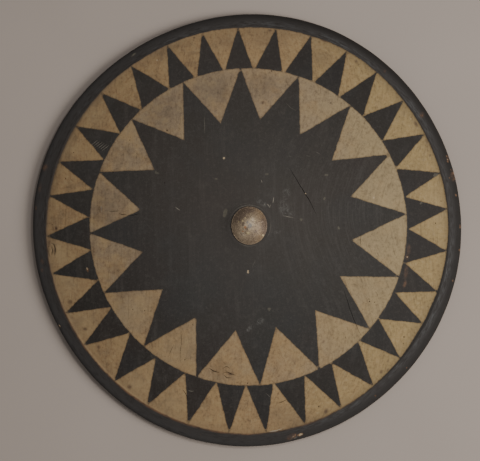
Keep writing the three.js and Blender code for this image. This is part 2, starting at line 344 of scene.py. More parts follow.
# Colours of the paint and the wood
TAN_GREY = (0.318, 0.240, 0.158)
TAN_WARM = (0.362, 0.243, 0.127)
# The next colour is the tan painted lighter to the right, a painted light
TAN_PAINTED_LIT = (0.352, 0.278, 0.156)
TAN_YELLOW = (0.354, 0.266, 0.125)
TAN_PALE = (0.425, 0.328, 0.190)
TAN_OCHRE = (0.392, 0.262, 0.130)
TAN_BRIGHT = (0.430, 0.310, 0.160)
TAN_DULL = (0.110, 0.082, 0.062)
TAN_DIRT = (0.085, 0.055, 0.032)
STAIN_BROWN = (0.110, 0.068, 0.045)
BLACK_BROWN = (0.040, 0.033, 0.029)
BLACK_GREEN = (0.036, 0.033, 0.029)
BLACK_BLUE = (0.037, 0.036, 0.036)
BLACK_WORN = (0.098, 0.089, 0.081)
BLACK_DEEP = (0.020, 0.018, 0.017)
RIM_INSIDE = (0.046, 0.042, 0.040)
RIM_OUTSIDE = (0.024, 0.021, 0.019)
# The next colour is the rim's outer edge painted lighter on the lower left, a painted light
RIM_LIT = (0.053, 0.050, 0.049)
# The next colour darkens the tan near the rim
DARK_RIM_BROWN = (0.058, 0.044, 0.034)
# The next colour darkens the rim's inner edge on the lower left
DARK_RIM_EDGE = (0.026, 0.020, 0.016)
# The next colour is pale wear on the rim's inner half with a painted sheen
RIM_WORN_SHEEN = (0.098, 0.100, 0.102)
WOOD_RED = (0.075, 0.042, 0.028)
WOOD_ORANGE = (0.220, 0.120, 0.065)
WOOD_RUBBED = (0.150, 0.086, 0.054)
CHIP_CREAM = (0.480, 0.380, 0.250)
FADED_GREY = (0.125, 0.115, 0.090)
DUST_GREY = (0.190, 0.188, 0.178)
DUST_COOL = (0.086, 0.086, 0.084)
SCRATCH_PALE = (0.470, 0.430, 0.350)
SPLIT_DARK = (0.012, 0.010, 0.008)
PIT_DARK = (0.026, 0.016, 0.010)
BACK_BROWN = (0.120, 0.066, 0.034)
BACK_PALE = (0.190, 0.110, 0.056)
BACK_DARK = (0.055, 0.030, 0.017)
BACK_STAIN = (0.040, 0.026, 0.018)
GRIP_BROWN = (0.110, 0.056, 0.027)
GRIP_PALE = (0.205, 0.110, 0.052)
GRIP_DARK = (0.045, 0.024, 0.013)
GRIP_HANDLED = (0.060, 0.036, 0.022)

# Colours of the boss's metal and what lies on it, with its painted highlight, light and shade
METAL_BROWN = (0.190, 0.135, 0.086)
METAL_PALE = (0.320, 0.246, 0.172)
METAL_RED = (0.190, 0.120, 0.075)
# The next colour is a painted highlight
METAL_PAINTED_HIGHLIGHT = (0.480, 0.380, 0.250)
# The next colour is painted light for the dome's left side
METAL_PAINTED_LIGHT = (0.540, 0.425, 0.290)
# The next colour is painted shade for the dome's right side
METAL_PAINTED_SHADE = (0.300, 0.205, 0.105)
METAL_GLINT = (0.640, 0.530, 0.390)
METAL_BLUE = (0.240, 0.245, 0.255)
METAL_TARNISH = (0.100, 0.066, 0.054)
METAL_RUST = (0.420, 0.190, 0.080)
METAL_CREAM = (0.620, 0.500, 0.280)
METAL_DARK = (0.110, 0.074, 0.052)
METAL_PIT = (0.070, 0.045, 0.032)
METAL_SPECK = (0.560, 0.450, 0.310)

# Floor and light. Each lamp has its name, place, size, power and colour, and faces the middle.
FLOOR_REACH = 6
FLOOR_GREY, FLOOR_PALE = (0.445, 0.388, 0.345), (0.465, 0.406, 0.363)
LIGHTS = (
    ("key", (2.45, -0.45, 2.0), 2.0, 75, (1, 0.96, 0.91)),
    ("top", (0.62, 0.55, 2.1), 0.35, 7, (1, 0.97, 0.94)),
)
SKY_COLOUR, SKY_STRENGTH = (1, 0.96, 0.93), 0.22


def unit(turn):
    """The direction of a bearing in degrees, in plan."""
    return math.sin(math.radians(turn)), math.cos(math.radians(turn))


def smooth(t):
    """Smooth rise from 0 to 1."""
    t = np.clip(t, 0, 1)
    return t * t * (3 - 2 * t)


def oval_share(x, y, middle, half, turn):
    """1 in the middle of an oval, 0 from its edge outwards. Its half length and width are
    given with the bearing of its length."""
    sine, cosine = unit(turn)
    off_x, off_y = x - middle[0], y - middle[1]
    ahead, aside = off_x * sine + off_y * cosine, off_x * cosine - off_y * sine
    return np.clip(1 - np.hypot(ahead / half[0], aside / half[1]), 0, 1)


def rim_height(radius):
    """Height of the rim's face, which steps up, falls outwards and rolls over."""
    step = PAINTED_EDGE_HEIGHT + RIM_PROUD * (radius - RIM_INNER) / RIM_STEP
    inset = np.clip(BOARD_RADIUS - radius, 0, RIM_WIDTH)
    rolled = 1 - np.sqrt(np.clip(inset / RIM_ROLL_WIDTH, 0, 1))
    return np.minimum(step, RIM_EDGE_HEIGHT + RIM_SLOPE * inset - RIM_ROLL_DEPTH * rolled ** 2)


def face_height(radius):
    """Height of the painted face, collar and rim, from above."""
    dome = APEX - DOME_RADIUS + np.sqrt(DOME_RADIUS ** 2 - np.minimum(radius, RIM_INNER) ** 2)
    collar = APEX + COLLAR_HEIGHT - dome
    collar = collar * smooth((COLLAR_RADIUS - radius) / COLLAR_SLOPE)
    return np.where(radius < RIM_INNER, dome + collar, rim_height(radius))


def hollow_height(radius):
    """Height of the hollow behind the face."""
    return APEX - DOME_RADIUS + np.sqrt(DOME_RADIUS ** 2 - radius ** 2) - BOARD_THICKNESS


def wave(bearing):
    """How far the outline stands out of its circle, on a bearing in radians."""
    return sum(high * np.cos(peaks * (bearing - math.radians(at))) for peaks, high, at in WAVES)


def placed(x, y):
    """From the plan of a true circle to the board's own place, with its waves."""
    grown = 1 + np.hypot(x, y) * wave(np.arctan2(x, y)) / BOARD_RADIUS ** 2
    return x * grown + MIDDLE_X, y * grown + MIDDLE_Y


class View:
    """The camera's place and axes, and what its pixels see."""

    focal = LENS / SENSOR * PHOTO_WIDTH
    away = focal * BOARD_RADIUS / OUTLINE_PIXELS
    side = Vector((LEAN_X, LEAN_Y, 1)).normalized()
    forward = -side
    right = forward.cross(Vector((0, 1, 0))).normalized()
    up = right.cross(forward)
    off_x = PHOTO_WIDTH / 2 - OUTLINE_PIXEL[0]
    off_y = OUTLINE_PIXEL[1] - PHOTO_HEIGHT / 2
    aim = Vector((0, 0, OUTLINE_HEIGHT)) + (right * off_x + up * off_y) * (away / focal)
    eye = aim + side * away

    @classmethod
    def plan(cls, pixel):
        """The place in plan, on the true circle, that a pixel of the photograph sees."""
        across = (pixel[0] - PHOTO_WIDTH / 2) / cls.focal
        down = (pixel[1] - PHOTO_HEIGHT / 2) / cls.focal
        ray = cls.forward + cls.right * across - cls.up * down
        height = APEX
        for _ in range(SIGHT_STEPS):
            point = cls.eye + ray * ((height - cls.eye.z) / ray.z)
            x, y = point.x - MIDDLE_X, point.y - MIDDLE_Y
            height = float(face_height(math.hypot(x, y)))
        radius, bearing = math.hypot(x, y), math.atan2(x, y)
        shrunk = 1 - radius * wave(bearing) / BOARD_RADIUS ** 2
        return x * shrunk, y * shrunk


def make_camera():
    data = bpy.data.cameras.new("camera")
    data.lens, data.sensor_width = LENS, SENSOR
    data.clip_end = 20
    camera = bpy.data.objects.new("camera", data)
    axes = Matrix((View.right, View.up, View.side)).transposed().to_4x4()
    camera.matrix_world = Matrix.Translation(View.eye) @ axes
    bpy.context.scene.collection.objects.link(camera)
    bpy.context.scene.camera = camera


def polar(centre, bearing, reach):
    """The pixel on a bearing from another one, at a reach in pixels."""
    sine, cosine = unit(bearing)
    return centre[0] + reach * sine, centre[1] - reach * cosine


def on_ellipse(bearing, centre, radii):
    """The pixel on an ellipse that lies on a bearing from READ_FROM."""
    sine, cosine = unit(bearing)
    step = (sine / radii[0], -cosine / radii[1])
    start = ((READ_FROM[0] - centre[0]) / radii[0], (READ_FROM[1] - centre[1]) / radii[1])
    a = step[0] ** 2 + step[1] ** 2
    b = step[0] * start[0] + step[1] * start[1]
    c = start[0] ** 2 + start[1] ** 2 - 1
    return polar(READ_FROM, bearing, (-b + math.sqrt(b * b - a * c)) / a)


def on_edge(bearing):
    """The pixel on the edge of the painted face that lies on a bearing."""
    stray = np.interp(bearing, range(0, 360, 30), EDGE_STRAYS, period=360)
    return on_ellipse(bearing, EDGE_CENTRE, [radius + stray for radius in EDGE_PIXELS])


def arc_pixels(reach, start, end):
    """Pixels along an arc about the middle of the boss."""
    return [polar(BOSS_PIXEL, bearing, reach) for bearing in np.linspace(start, end, 12)]


def in_order(pixels):
    """The places in plan that some pixels see and their bearings, in order round the middle."""
    places = np.array([View.plan(pixel) for pixel in pixels])
    bearings = np.arctan2(places[:, 0], places[:, 1]) % (2 * math.pi)
    order = np.argsort(bearings)
    return places[order], bearings[order]


class Circle:
    """A hand-drawn circle of the design, as its radius on every bearing in plan."""

    def __init__(self, pixels):
        places, self.bearings = in_order(pixels)
        self.radii = np.hypot(*places.T)

    def radius(self, bearing):
        return np.interp(bearing, self.bearings, self.radii, period=2 * math.pi)


class Zigzag:
    """A closed zigzag round the middle, through tips and corners in plan."""

    def __init__(self, pixels):
        self.places, self.bearings = in_order(pixels)

    def legs(self, step):
        """Points along every leg, a step apart."""
        points = []
        for a, b in zip(self.places, np.roll(self.places, -1, axis=0)):
            count = max(2, round(np.linalg.norm(b - a) / step))
            points += [a + (b - a) * t for t in np.arange(count) / count]
        return points

    def outside(self, x, y):
        """Signed distance from the zigzag, positive away from the middle."""
        count = len(self.places)
        bearing = np.arctan2(x, y) % (2 * math.pi)
        own = np.searchsorted(self.bearings, bearing) - 1
        nearest = np.full(x.shape, np.inf)
        for shift in (-2, -1, 0, 1, 2):
            a = self.places[(own + shift) % count]
            b = self.places[(own + shift + 1) % count]
            leg = b - a
            from_a = np.stack((x, y), -1) - a
            along = np.clip((from_a * leg).sum(-1) / (leg * leg).sum(-1), 0, 1)
            off = from_a - leg * along[..., None]
            nearest = np.minimum(nearest, np.hypot(off[..., 0], off[..., 1]))
            if shift == 0:
                side = np.sign(leg[..., 0] * from_a[..., 1] - leg[..., 1] * from_a[..., 0])
        return nearest * side


def interleaved(tips, corners):
    return [pixel for pair in zip(tips, corners) for pixel in pair]


class Design:
    """The painted triangles, as the distance of any place from their edge."""

    ring = Circle([on_ellipse(b, RING_CENTRE, RING_PIXELS) for b in range(0, 360, 5)])
    edge = Circle([on_edge(b) for b in range(0, 360, 5)])
    inner = Zigzag(interleaved(
        [polar(READ_FROM, *tip) for tip in INNER_TIPS],
        [on_ellipse(bearing, RING_CENTRE, RING_PIXELS) for bearing in INNER_CORNERS],
    ))
    outer = Zigzag(interleaved(
        [on_ellipse(bearing, RING_CENTRE, [r + gap for r in RING_PIXELS])
         for bearing, gap in OUTER_TIPS],
        [on_edge(bearing) for bearing in OUTER_CORNERS],
    ))

    @classmethod
    def tan(cls, x, y):
        """Signed distance into the tan paint, in plan."""
        radius, bearing = np.hypot(x, y), np.arctan2(x, y)
        inner = np.minimum(cls.inner.outside(x, y), cls.ring.radius(bearing) - radius)
        outer = np.minimum(cls.outer.outside(x, y), cls.edge.radius(bearing) - radius)
        return np.maximum(inner, outer)


class Stroke:
    """A split or a scratch: a thin line that tapers to both ends."""

    def __init__(self, width, depth, *pixels, strength=1.0):
        corners = np.array([View.plan(pixel) for pixel in pixels])
        lengths = np.r_[0, np.cumsum(np.linalg.norm(np.diff(corners, axis=0), axis=1))]
        self.width, self.depth, self.length = width * MM, depth * MM, lengths[-1]
        self.strength = strength
        self.at = np.linspace(0, self.length, max(5, round(self.length / STROKE_STEP)))
        x, y = (np.interp(self.at, lengths, corners[:, axis]) for axis in (0, 1))
        slope = np.gradient(np.c_[x, y], axis=0)
        slope /= np.linalg.norm(slope, axis=1)[:, None]
        self.normal = np.c_[-slope[:, 1], slope[:, 0]]
        unsteady = np.sin(self.at / (7 * MM)) + 0.6 * np.sin(self.at / (2.9 * MM) + 1)
        self.line = np.c_[x, y] + self.normal * (unsteady * STROKE_STRAY)[:, None]
        self.on_face = np.hypot(*self.line.T).max() < RIM_INNER - 2 * MM

    def taper(self, at):
        return np.clip(np.sin(math.pi * at / self.length), 0, 1) ** 0.6

    def sides(self):
        """The middle line and the two lips, each from one end to the other."""
        off = self.normal * (self.width / 2 * self.taper(self.at))[:, None]
        lips = [(self.line + off * way)[1:-1] for way in (-1, 1)]
        return [self.line, *lips]

    def share(self, x, y):
        """1 on the middle of the line, 0 at its ends and from its lips outwards."""
        share = np.zeros(x.shape)
        reach = self.length / 2 + self.width
        middle = self.line.mean(axis=0)
        near = (np.abs(x - middle[0]) < reach) & (np.abs(y - middle[1]) < reach)
        points = np.stack((x[near], y[near]), -1)
        best = np.zeros(len(points))
        for k in range(len(self.line) - 1):
            a, leg = self.line[k], self.line[k + 1] - self.line[k]
            along = np.clip((points - a) @ leg / (leg @ leg), 0, 1)
            off = points - a - along[:, None] * leg
            taper = self.taper(self.at[k] + along * (self.at[k + 1] - self.at[k]))
            half = np.maximum(self.width / 2 * taper, 0.02 * MM)
            gap = np.hypot(off[:, 0], off[:, 1])
            best = np.maximum(best, taper * np.clip(1 - gap / half, 0, 1))
        share[near] = best * self.strength
        return share


class Mark:
    """An oval mark on the face or rim."""

    def __init__(self, pixel_x, pixel_y, length, width, turn, depth=0.0):
        self.middle = View.plan((pixel_x, pixel_y))
        self.half, self.depth, self.turn = (length / 2 * MM, width / 2 * MM), depth * MM, turn
        self.on_face = math.hypot(*self.middle) + self.half[0] < RIM_INNER - 1 * MM

    def share(self, x, y):
        return oval_share(x, y, self.middle, self.half, self.turn)

    def ring(self, share, count=8):
        """Points round the mark at a share of its size."""
        turns = np.arange(count) * 2 * math.pi / count
        ahead, aside = share * self.half[0] * np.cos(turns), share * self.half[1] * np.sin(turns)
        (x, y), (sine, cosine) = self.middle, unit(self.turn)
        return np.c_[x + ahead * sine + aside * cosine, y + ahead * cosine - aside * sine]


class Wear:
    """Everything that time has done to the paint and the wood, kind by kind."""

    split = [Stroke(*row) for row in SPLITS]
    scratch = [Stroke(width, SCRATCH_DEPTH, *pixels, strength=strength)
               for width, strength, *pixels in SCRATCHES]
    scratch += [Stroke(width, SCRATCH_DEPTH, *arc_pixels(*arc), strength=strength)
                for width, strength, *arc in BOSS_ARCS]
    kinds = {"split": split, "scratch": scratch}
    kinds |= {kind: [Mark(*row) for row in rows] for kind, rows in MARKS.items()}

    @classmethod
    def of(cls, *kinds):
        return [one for kind in kinds for one in cls.kinds[kind]]

    @classmethod
    def sunk(cls, x, y):
        """How deep the marks and lines go below the surface."""
        depth = np.zeros(x.shape)
        for mark in cls.of("pale", "faded", "pit", "bare"):
            depth = np.maximum(depth, mark.depth * smooth(2 * mark.share(x, y)))
        for stroke in cls.of("split", "scratch"):
            depth = np.maximum(depth, stroke.depth * stroke.share(x, y))
        return depth


def carved(x, y):
    """Slight hollows left by the carver's tools, never above the true surface."""
    broad = np.sin(x / (37 * MM) + 1.3) * np.sin(y / (49 * MM) + 0.4)
    close = np.sin(x / (17 * MM) + y / (31 * MM)) * np.sin(y / (23 * MM) - x / (41 * MM))
    return BROAD_HOLLOWS * (broad - 1) + CLOSE_HOLLOWS * (close - 1)


def hexagonal(radius, step):
    """Points of a regular grid inside a circle."""
    rows = np.arange(-radius, radius, step * math.sqrt(3) / 2)
    points = []
    for number, y in enumerate(rows):
        x = np.arange(-radius, radius, step) + (number % 2) * step / 2
        points.append(np.c_[x, np.full(len(x), y)])
    points = np.concatenate(points)
    return points[np.hypot(points[:, 0], points[:, 1]) < radius - step * 0.6]


def circle_points(radius):
    turns = np.arange(AROUND) * 2 * math.pi / AROUND
    return np.c_[radius * np.sin(turns), radius * np.cos(turns)]


def away_from(points, others, gap):
    """The points that keep a gap from the others."""
    tree = KDTree(len(others))
    for number, (x, y) in enumerate(others):
        tree.insert((x, y, 0), number)
    tree.balance()
    return np.array([p for p in points if tree.find((p[0], p[1], 0))[2] > gap])


def face_points():
    """The points of the painted face in plan, and the edges that they must keep."""
    kept, edges = list(circle_points(RIM_INNER)), []
    fine = []
    for stroke in Wear.of("split", "scratch"):
        for line in stroke.sides() if stroke.on_face else ():
            start = len(kept) + len(fine)
            fine += list(line)
            edges += [(start + k, start + k + 1) for k in range(len(line) - 1)]
    small = []
    for kinds, shares in ((("pale", "pit"), (0.5, 1.0)), (("faded", "bare"), (0.6,))):
        for mark in Wear.of(*kinds):
            if mark.on_face:
                small.append(mark.middle)
                small += [point for share in shares for point in mark.ring(share)]
    fine += list(away_from(small, fine, CLEAR_OF_MARKS))
    drawn = Design.inner.legs(FACE_STEP) + Design.outer.legs(FACE_STEP)
    for bearing in np.arange(0, 360, RING_STEP):
        drawn.append(Design.ring.radius(math.radians(bearing)) * np.array(unit(bearing)))
    for bearing in np.arange(0, 360, COLLAR_STEP):
        for radius in (LAND_RADIUS, LAND_RADIUS + COLLAR_SLOPE / 2, COLLAR_RADIUS):
            drawn.append(radius * np.array(unit(bearing)))
    drawn = [p for p in drawn if math.hypot(*p) < RIM_INNER - FACE_STEP / 2]
    drawn = list(away_from(drawn, fine, CLEAR_OF_LINES))
    grid = away_from(hexagonal(RIM_INNER, FACE_STEP), fine + drawn, CLEAR_OF_LINES)
    return kept + fine + drawn + list(grid), edges


def triangulated(points, edges):
    """A sheet of triangles in plan, all facing up, with its outer circle's points in order."""
    found = delaunay_2d_cdt([Vector(p) for p in points], edges, [], 0, 1e-7)
    places, faces = np.array([tuple(p) for p in found[0]]), np.array(found[2])
    a, b, c = (places[faces[:, k]] for k in range(3))
    down = (b[:, 0] - a[:, 0]) * (c[:, 1] - a[:, 1]) < (b[:, 1] - a[:, 1]) * (c[:, 0] - a[:, 0])
    faces[down] = faces[down][:, ::-1]
    radii = np.hypot(places[:, 0], places[:, 1])
    rim = np.flatnonzero(radii > radii.max() - 1e-6)
    bearings = np.arctan2(places[rim, 0], places[rim, 1]) % (2 * math.pi - 1e-5)
    return places, faces, rim[np.argsort(bearings)]


def rim_front():
    """Radius and height from the painted edge out and down to the foot."""
    roll_start = BOARD_RADIUS - RIM_ROLL_WIDTH
    radii = [RIM_INNER + RIM_STEP * t for t in (0.35, 0.7, 1, 1.5)]
    radii += list(np.linspace(radii[-1], roll_start, 7)[1:])
    radii += [BOARD_RADIUS - RIM_ROLL_WIDTH * t ** 2 for t in np.linspace(1, 0, 11)[1:]]
    profile = [(radius, float(rim_height(radius))) for radius in radii]
    low = profile[-1][1]
    return profile + [(BOARD_RADIUS, h) for h in np.linspace(low, RIM_FOOT_INSET, 4)[1:]]


def rim_foot():
    """Radius and height on round the foot to the edge of the hollow."""
    profile = []
    for turn in np.linspace(0, math.pi / 2, 5)[1:]:
        inward = RIM_FOOT_INSET * (1 - math.cos(turn))
        profile.append((BOARD_RADIUS - inward, RIM_FOOT_INSET * (1 - math.sin(turn))))
    outer = BOARD_RADIUS - RIM_FOOT_INSET
    profile += [(r, 0.0) for r in np.linspace(outer, FOOT_INNER, 5)[1:]]
    foot, edge = (FOOT_INNER, 0.0), (HOLLOW_RADIUS, float(hollow_height(HOLLOW_RADIUS)))
    profile += [tuple(np.array(foot) * (1 - t) + np.array(edge) * t) for t in (0.33, 0.67)]
    return profile


def rim_relief(bearing):
    """How far the carver's hand left the rim short of its full size."""
    long = 0.5 + 0.5 * np.sin(5 * bearing + 0.7) * np.sin(9 * bearing)
    short = 0.5 + 0.5 * np.sin(41 * bearing + 2 * np.sin(7 * bearing))
    return RIM_SHORT + RIM_LONG_WAVES * long + RIM_SHORT_WAVES * short


def rim_rings(bearings):
    """The rim's points, ring by ring, as x, y in plan and height."""
    rings = []
    sine, cosine = np.sin(bearings), np.cos(bearings)
    for radius, height in rim_front():
        over = np.clip(1 - (BOARD_RADIUS - radius) / RIM_ROLL_WIDTH, 0, 1)
        short = rim_relief(bearings) * smooth((radius - RIM_INNER) / (6 * MM))
        short = short + Wear.sunk(radius * sine, radius * cosine)
        out = radius - short * over
        rings.append(np.c_[out * sine, out * cosine, height - short * (1 - over)])
    for radius, height in rim_foot():
        rings.append(np.c_[radius * sine, radius * cosine, np.full(len(bearings), height)])
    return rings


def strip(rows):
    """Faces between closed rows of vertex numbers."""
    faces = []
    for near, far in zip(rows, rows[1:]):
        near_next, far_next = np.roll(near, -1), np.roll(far, -1)
        faces += np.c_[near, near_next, far_next, far].tolist()
    return faces


def new_object(name, points, faces, materials, indices=None):
    mesh = bpy.data.meshes.new(name)
    mesh.from_pydata([tuple(p) for p in points], [], faces)
    for material in materials:
        mesh.materials.append(material)
    if indices is not None:
        mesh.polygons.foreach_set("material_index", np.asarray(indices, dtype=np.int32))
    mesh.polygons.foreach_set("use_smooth", np.ones(len(mesh.polygons), dtype=bool))
    mesh.update()
    made = bpy.data.objects.new(name, mesh)
    bpy.context.scene.collection.objects.link(made)
    return made


def add_value(made, name, values):
    attribute = made.data.attributes.new(name, "FLOAT", "POINT")
    attribute.data.foreach_set("value", np.asarray(values, dtype=np.float32))


def grain_lean(x, y):
    """How far a line of the grain has wandered sideways, in plan. The grain leans where
    the long splits are and runs straight between them."""
    right = smooth(x / (90 * MM)) * smooth((300 * MM - x) / (120 * MM))
    wander = 26 * MM * np.sin((y + 70 * MM) / (58 * MM)) * right
    return wander + 5 * MM * np.sin(y / (90 * MM) + x / (140 * MM))


def make_board(paint, back_wood):
    points, edges = face_points()
    plan, faces, face_edge = triangulated(points, edges)
    x, y = plan[:, 0], plan[:, 1]
    radius = np.hypot(x, y)
    inside = smooth((RIM_INNER - radius) / (6 * MM)) * smooth((radius - COLLAR_RADIUS) / (9 * MM))
    heights = face_height(radius) + carved(x, y) * inside - Wear.sunk(x, y)
    parts = [np.c_[x, y, heights]]

    bearings = np.arctan2(x[face_edge], y[face_edge])
    rows, count = [face_edge], len(plan)
    for ring in rim_rings(bearings):
        parts.append(ring)
        rows.append(np.arange(count, count + AROUND))
        count += AROUND

    behind, behind_faces, behind_edge = triangulated(
        np.r_[circle_points(HOLLOW_RADIUS), hexagonal(HOLLOW_RADIUS, BACK_STEP)], [])
    distance = np.hypot(behind[:, 0], behind[:, 1])
    gouged = np.abs(np.sin(behind[:, 0] / (9 * MM) + np.sin(behind[:, 1] / (40 * MM))))
    gouged = GOUGE_DEPTH * (1 - gouged) * smooth((distance - GOUGE_START) / (25 * MM))
    gouged = gouged * smooth((HOLLOW_RADIUS - distance) / (15 * MM))
    parts.append(np.c_[behind, hollow_height(distance) - gouged])
    rows.append(behind_edge + count)

    px, py, pz = np.concatenate(parts).T
    bands = strip(rows)
    turned = (behind_faces[:, ::-1] + count).tolist()
    indices = [0] * (len(faces) + len(bands) - BARE_BANDS * AROUND)
    indices += [1] * (BARE_BANDS * AROUND + len(turned))
    points = np.c_[(*placed(px, py), pz)]
    board = new_object(
        "carved_board", points, faces.tolist() + bands + turned, (paint, back_wood), indices)
    board.data.set_sharp_from_angle(angle=SHARP_BOARD)
    add_paint_values(board, px, py, np.arange(len(px)) < len(plan) + len(rim_front()) * AROUND)
    return board


def add_paint_values(board, x, y, front):
    """What the paint's shader reads at every point: its place in the design and its wear."""
    radius, bearing = np.hypot(x, y), np.arctan2(x, y)
    left = np.clip(np.cos(bearing - math.radians(DARK_RIM_TOWARDS)), 0, 1) ** 1.5
    below = np.clip(np.cos(bearing - math.radians(WORN_EDGE_TOWARDS)), 0, 1) ** 2.5
    from_edge = radius - Design.edge.radius(bearing)
    close = smooth((from_edge + DARK_RIM_CLOSE) / (DARK_RIM_CLOSE + 1 * MM))
    wide = smooth((from_edge + DARK_RIM_WIDE) / (DARK_RIM_WIDE + 1 * MM))
    from_sheen_streaks = np.hypot(x - SHEEN_STREAKS_X, y - SHEEN_STREAKS_Y)
    values = {
        "tan": np.where(front, Design.tan(x, y) / MM, -20),
        "rim": smooth((radius - RIM_INNER) / (2 * MM)),
        "roll": (radius - RIM_INNER) / RIM_WIDTH,
        "outer_row": smooth((radius - Design.ring.radius(bearing)) / (3 * MM)),
        # Tan painted darker near the rim, most on the left
        "darker_by_rim": np.maximum(close * left * 0.95, wide * (0.26 + 0.1 * left)),
        "worn_edge": smooth(1 - np.abs(from_edge - 0.3 * MM) / (1.8 * MM)) * below,
        "middle": smooth((290 * MM - radius) / (260 * MM)),
        # Where the black paint has a painted sheen in paler streaks
        "sheen_streaks": smooth(1.4 - from_sheen_streaks / SHEEN_STREAKS_REACH),
        "across_grain": x + grain_lean(x, y),
    }
    for kind, marks in Wear.kinds.items():
        values[kind] = np.max([mark.share(x, y) for mark in marks], axis=0) * front
    for name, value in values.items():
        add_value(board, name, value)


def lathe(profile, around):
    """Points and faces of a turned form, closed at both ends of its profile."""
    turns = np.arange(around) * 2 * math.pi / around
    points = [(0, 0, profile[0][1])]
    for radius, height in profile[1:-1]:
        points += [(radius * math.cos(t), radius * math.sin(t), height) for t in turns]
    points.append((0, 0, profile[-1][1]))
    rows = [1 + row * around + np.arange(around) for row in range(len(profile) - 2)]
    faces = [(0, rows[0][(k + 1) % around], rows[0][k]) for k in range(around)] + strip(rows)
    last = len(points) - 1
    faces += [(rows[-1][k], rows[-1][(k + 1) % around], last) for k in range(around)]
    return np.array(points), [tuple(int(n) for n in face) for face in faces]


def make_boss(metal):
    """The domed cap, lightly dented, with a thin lip at its foot."""
    height = BOSS_HIGH.z - BOSS_LOW.z
    rise = height - BOSS_LIP_HEIGHT
    radius = (BOSS_HALF_WIDTH ** 2 + rise ** 2) / (2 * rise)
    edge_slope = math.asin(BOSS_HALF_WIDTH / radius)
    inset = 1 - BOSS_LIP_INSET / BOSS_HALF_WIDTH
    profile = [(share, 0) for share in (0, 0.5, 0.9, 0.985)]
    profile += [(1, 0.25 * MM), (1, BOSS_LIP_HEIGHT * 0.7)]
    profile += [(inset + 0.01, BOSS_LIP_HEIGHT), (inset, BOSS_LIP_HEIGHT)]
    for slope in np.linspace(edge_slope, 0, BOSS_STEPS)[1:]:
        share = inset * math.sin(slope) / math.sin(edge_slope)
        profile.append((share, height - radius * (1 - math.cos(slope))))
    points, faces = lathe(profile, BOSS_AROUND)
    points *= (BOSS_HALF_WIDTH, BOSS_HALF_LENGTH, 1)
    for point in points:
        spot = Vector(point)
        dents = noise.fractal(spot / DENT_SIZE, 0.7, 2.0, 3)
        pits = max(0, noise.noise(spot / PIT_SIZE) - 0.3)
        depth = (DENT_DEPTH * (dents + 1) + PIT_DEPTH * pits) * (point[2] > BOSS_LIP_HEIGHT)
        point *= 1 - depth / BOSS_HALF_WIDTH
    boss = new_object(
        "domed_boss", points + np.array((MIDDLE_X, MIDDLE_Y, BOSS_LOW.z)), faces, (metal,))
    for name, spots in BOSS_SPOTS.items():
        shares = []
        for x, y, length, width, turn in spots:
            middle, half = (x * MM, y * MM), (length / 2 * MM, width / 2 * MM)
            shares.append(oval_share(points[:, 0], points[:, 1], middle, half, turn))
        add_value(boss, name, np.max(shares, axis=0))
    return boss


def grip_line():
    """Half of the grip's middle line: place, direction and flare, from the bar outwards."""
    bar = float(hollow_height(0)) - FINGER_GAP - BAR_THICKNESS / 2
    foot = GRIP_SPAN / 2
    seat = float(hollow_height(foot))
    line = [(x, bar, 0.0) for x in np.linspace(0, foot - BEND_RADIUS, 9)[:-1]]
    for turn in np.linspace(0, math.pi / 2, 14):
        x = foot - BEND_RADIUS * (1 - math.sin(turn))
        line.append((x, bar + BEND_RADIUS * (1 - math.cos(turn)), turn))
    line += [(foot, z, math.pi / 2) for z in np.linspace(bar + BEND_RADIUS, seat, 6)[1:]]
    return [(x, z, turn, float(smooth((z - bar) / (seat - bar)))) for x, z, turn in line]


def grip_ring(x, z, turn, flare, side):
    """One oval of the grip, with its inner and outer faces flattened."""
    half_width = (BAR_WIDTH + (FOOT_WIDTH - BAR_WIDTH) * flare) / 2
    half_thick = (BAR_THICKNESS + (FOOT_LENGTH - BAR_THICKNESS) * flare) / 2
    angles = np.arange(GRIP_SIDES) * 2 * math.pi / GRIP_SIDES
    oval = half_thick / (BAR_FLAT + (1 - BAR_FLAT) * flare) * np.sin(angles)
    out = np.clip(oval, -half_thick, half_thick)
    across = half_width * np.cos(angles)
    return np.c_[side * (x - out * math.sin(turn)), across, z + out * math.cos(turn)]


def make_grip(wood):
    half = grip_line()
    rings = [grip_ring(*station, -1) for station in half[:0:-1]]
    rings += [grip_ring(*station, 1) for station in half]
    for ring in (rings[0], rings[-1]):
        ring[:, 2] = hollow_height(np.hypot(ring[:, 0], ring[:, 1])) - GRIP_GAP
    points = np.concatenate(rings)
    rows = np.arange(len(points)).reshape(len(rings), GRIP_SIDES)
    faces = [rows[0][::-1].tolist(), rows[-1].tolist()]
    points = points + np.array((MIDDLE_X, MIDDLE_Y, 0))
    grip = new_object("hand_grip", points, faces + strip(rows), (wood,))
    grip.data.set_sharp_from_angle(angle=SHARP_GRIP)
    return grip


